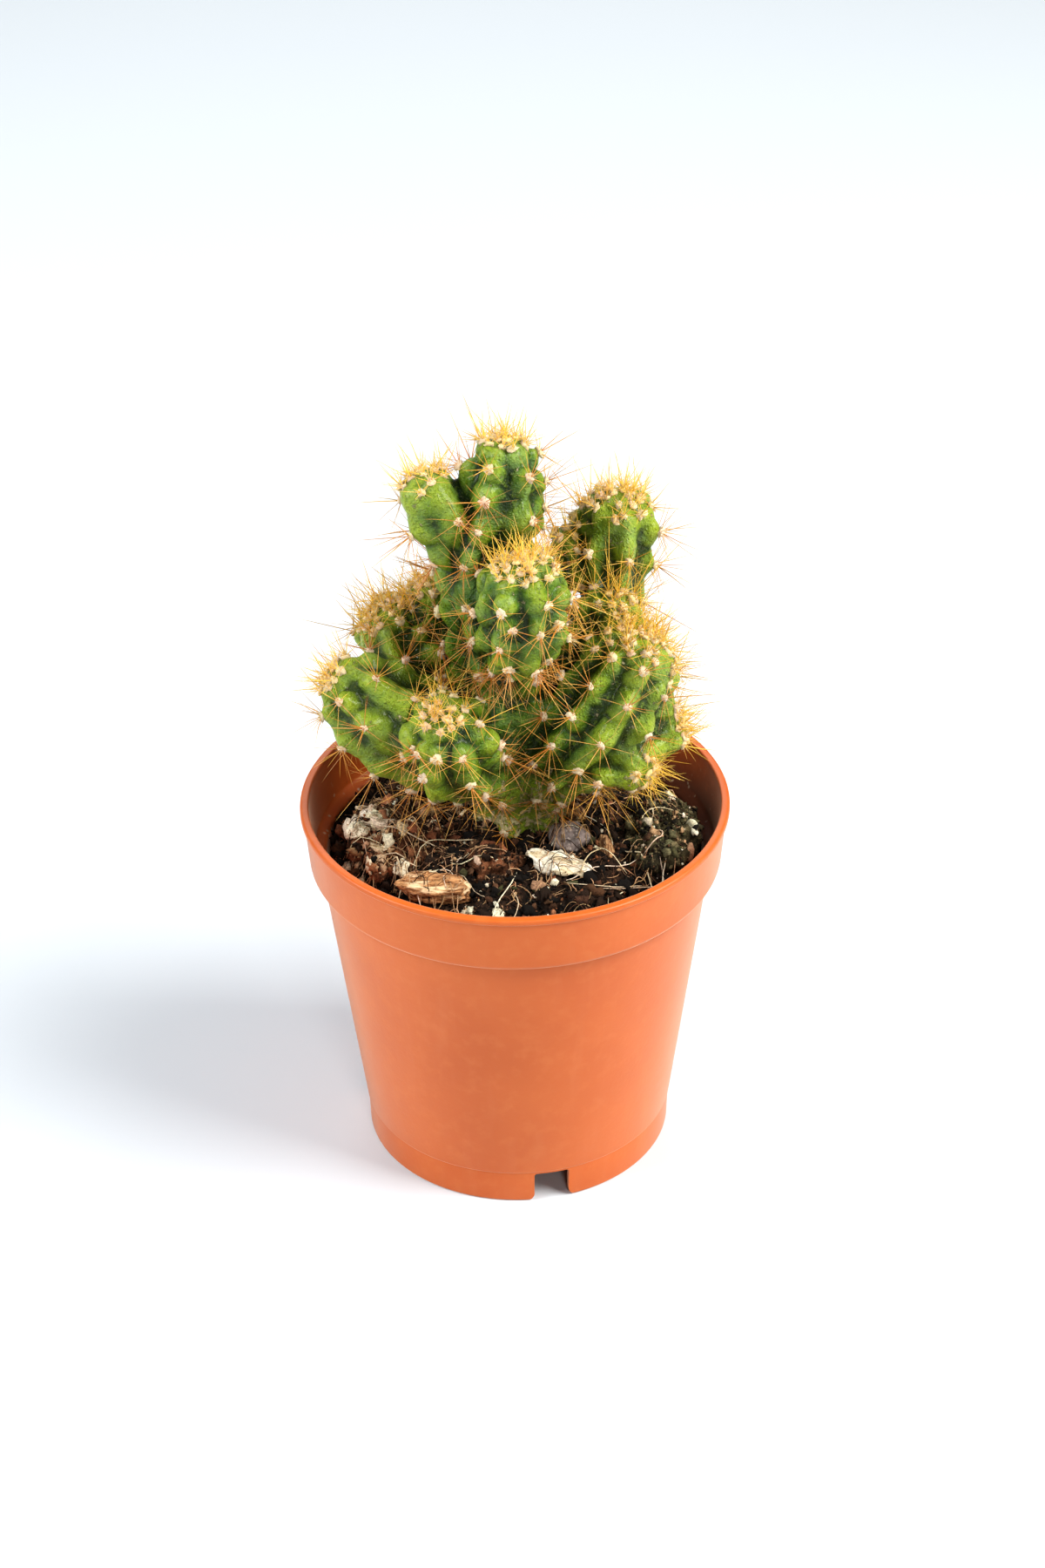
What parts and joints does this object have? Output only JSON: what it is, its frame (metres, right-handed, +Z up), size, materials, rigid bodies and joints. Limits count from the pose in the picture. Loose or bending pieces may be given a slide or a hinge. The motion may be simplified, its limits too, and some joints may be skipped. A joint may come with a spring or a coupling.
{
  "type": "potted cactus",
  "caption": "Branching ribbed cactus with knobbly spiny shoots, in potting mix, in a round tapered plastic nursery pot with a collar and a notched foot.",
  "frame": {"origin": "middle of the pot's foot, on the surface that the pot stands on", "axes": "+Z up along the pot's axis; -Y is the side that the plant shows best; +X to the right of it"},
  "size_m": [0.055, 0.055, 0.1049],
  "materials": {
    "terracotta_plastic": "satin",
    "potting_mix": "matte",
    "cactus_skin": "satin",
    "spines": "satin",
    "grey_stone": "matte",
    "bark": "matte",
    "pale_flake": "matte",
    "peat_clod": "matte",
    "perlite": "matte"
  },
  "bodies": {
    "root": {"pot": "terracotta_plastic", "potting_mix": "potting_mix", "central_stem": "cactus_skin", "crown_side_shoot": "cactus_skin", "front_shoot": "cactus_skin", "right_shoot": "cactus_skin", "left_shoot": "cactus_skin", "front_left_shoot": "cactus_skin", "rear_left_shoot": "cactus_skin", "rear_left_side_shoot": "cactus_skin", "upper_right_shoot": "cactus_skin", "upper_right_side_shoot": "cactus_skin", "right_rear_shoot": "cactus_skin", "right_low_shoot": "cactus_skin", "right_base_shoot": "cactus_skin", "central_stem_spines": "spines", "crown_side_shoot_spines": "spines", "front_shoot_spines": "spines", "right_shoot_spines": "spines", "left_shoot_spines": "spines", "front_left_shoot_spines": "spines", "rear_left_shoot_spines": "spines", "rear_left_side_shoot_spines": "spines", "upper_right_shoot_spines": "spines", "upper_right_side_shoot_spines": "spines", "right_rear_shoot_spines": "spines", "right_low_shoot_spines": "spines", "right_base_shoot_spines": "spines", "grey_pebble": "grey_stone", "bark_chip": "bark", "bark_splinter": "bark", "pale_flake": "pale_flake", "front_clod": "peat_clod", "left_clod": "peat_clod", "right_clod": "peat_clod", "husk": "pale_flake", "perlite_left": "perlite", "perlite_middle": "perlite", "perlite_right": "perlite", "perlite_rear": "perlite"}
  },
  "joints": []
}
